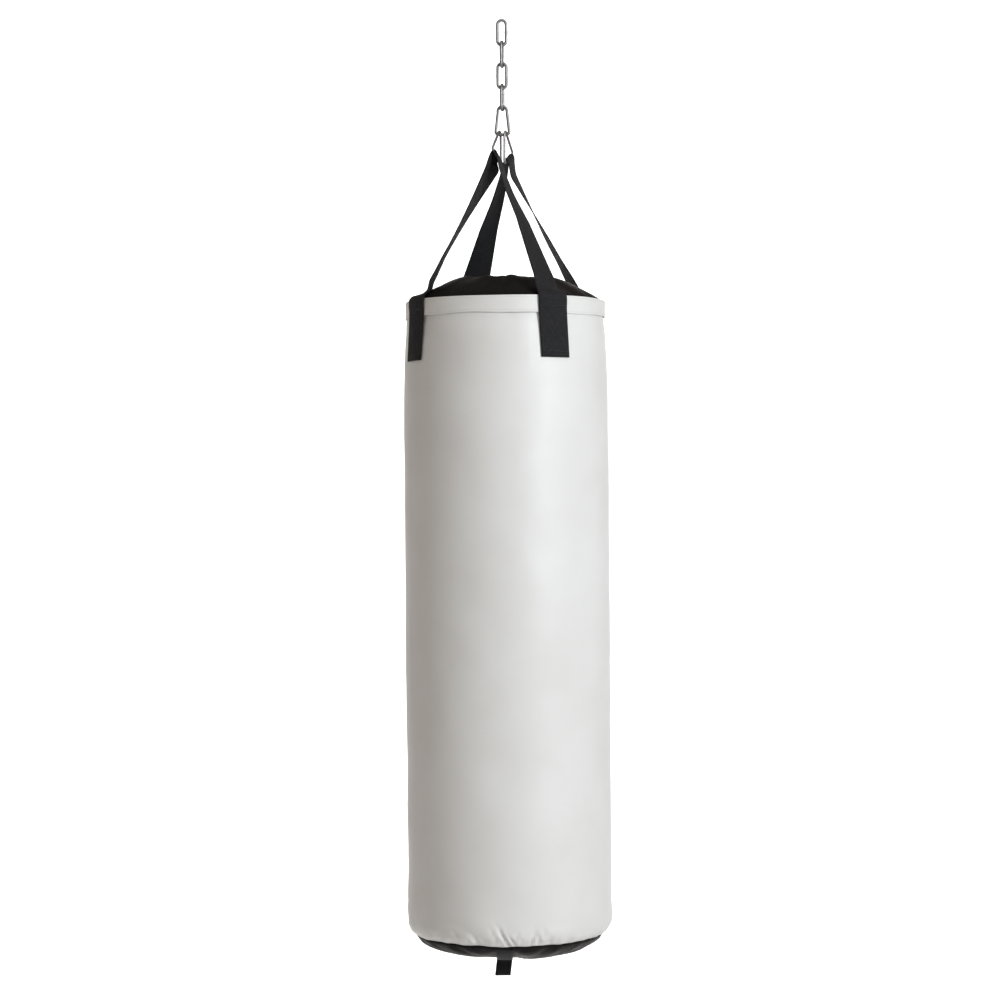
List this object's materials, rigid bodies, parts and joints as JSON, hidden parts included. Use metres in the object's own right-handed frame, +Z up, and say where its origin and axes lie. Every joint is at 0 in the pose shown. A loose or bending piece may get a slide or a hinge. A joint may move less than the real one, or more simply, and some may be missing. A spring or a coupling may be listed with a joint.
{
  "type": "hanging punch bag",
  "caption": "Hanging cylindrical punch bag with a zipped lid, webbing straps on triangular rings, a snap hook, a short chain on top and a webbing tether loop underneath.",
  "frame": {"origin": "bearing point inside the top of the first chain link, where the bag is hung up", "axes": "+Z up along the hanging line, -Y towards the viewer of the picture (the front), +X to the viewer's right"},
  "size_m": [0.3308, 0.3308, 1.537],
  "materials": {
    "chain_steel": "satin",
    "hook_steel": "satin",
    "ring_steel": "satin",
    "strap_webbing": "matte",
    "shell_fabric": "satin",
    "lid_fabric": "satin",
    "foam": "matte",
    "stuffing": "matte",
    "zip_tape": "matte",
    "zip_teeth": "satin",
    "zip_metal": "satin"
  },
  "bodies": {
    "link_1": {"chain_link_1": "chain_steel"},
    "link_2": {"chain_link_2": "chain_steel"},
    "link_3": {"chain_link_3": "chain_steel"},
    "link_4": {"chain_link_4": "chain_steel"},
    "hook": {"snap_hook_body": "hook_steel", "gate_pin": "hook_steel"},
    "gate": {"snap_hook_gate": "hook_steel", "gate_spring": "hook_steel"},
    "bag": {"strap_ring_front": "ring_steel", "strap_ring_rear": "ring_steel", "shell": "shell_fabric", "top_hem_band": "shell_fabric", "lid_panel": "lid_fabric", "top_pad": "foam", "foam_liner": "foam", "filling": "stuffing", "bottom_panel": "lid_fabric", "bottom_pad": "foam", "hanging_strap_front": "strap_webbing", "hanging_strap_rear": "strap_webbing", "bottom_strap": "strap_webbing", "zip_tape_front": "zip_tape", "zip_tape_rear": "zip_tape", "zip_teeth_front": "zip_teeth", "zip_teeth_rear": "zip_teeth", "zip_stop_left": "zip_metal", "zip_stop_right": "zip_metal"},
    "slider": {"zip_slider": "zip_metal"},
    "pull": {"zip_pull": "zip_metal"}
  },
  "joints": [
    {"name": "link_2_swing", "type": "hinge", "parent": "link_1", "child": "link_2", "pos_m": [0, 0, -0.0322], "axis": [0.2079, 0.9781, 0], "range_deg": [-60, 60]},
    {"name": "link_3_twist", "type": "hinge", "parent": "link_2", "child": "link_3", "pos_m": [0, 0, -0.0722], "axis": [0, 0, 1], "range_deg": [-30, 8]},
    {"name": "link_4_swing", "type": "hinge", "parent": "link_3", "child": "link_4", "pos_m": [0, 0, -0.1069], "axis": [1, 0, 0], "range_deg": [-60, 60]},
    {"name": "hook_swing", "type": "hinge", "parent": "link_4", "child": "hook", "pos_m": [0, 0, -0.1416], "axis": [0.2079, 0.9781, 0], "range_deg": [-60, 60]},
    {"name": "gate_open", "type": "hinge", "parent": "hook", "child": "gate", "pos_m": [-0.00769, 0, -0.14771], "axis": [0, -1, 0], "range_deg": [0, 25], "stiffness_Nm_per_rad": 0.05, "springref_deg": -20.05},
    {"name": "bag_swing", "type": "hinge", "parent": "hook", "child": "bag", "pos_m": [0, 0, -0.1813], "axis": [1, 0, 0], "range_deg": [-45, 45]},
    {"name": "zip_slide", "type": "slide", "parent": "bag", "child": "slider", "axis": [1, 0, 0], "range_m": [0, 0.124]},
    {"name": "zip_pull_flip", "type": "hinge", "parent": "slider", "child": "pull", "pos_m": [-0.0595, 0, -0.41455], "axis": [0, 1, 0], "range_deg": [0, 180]}
  ]
}
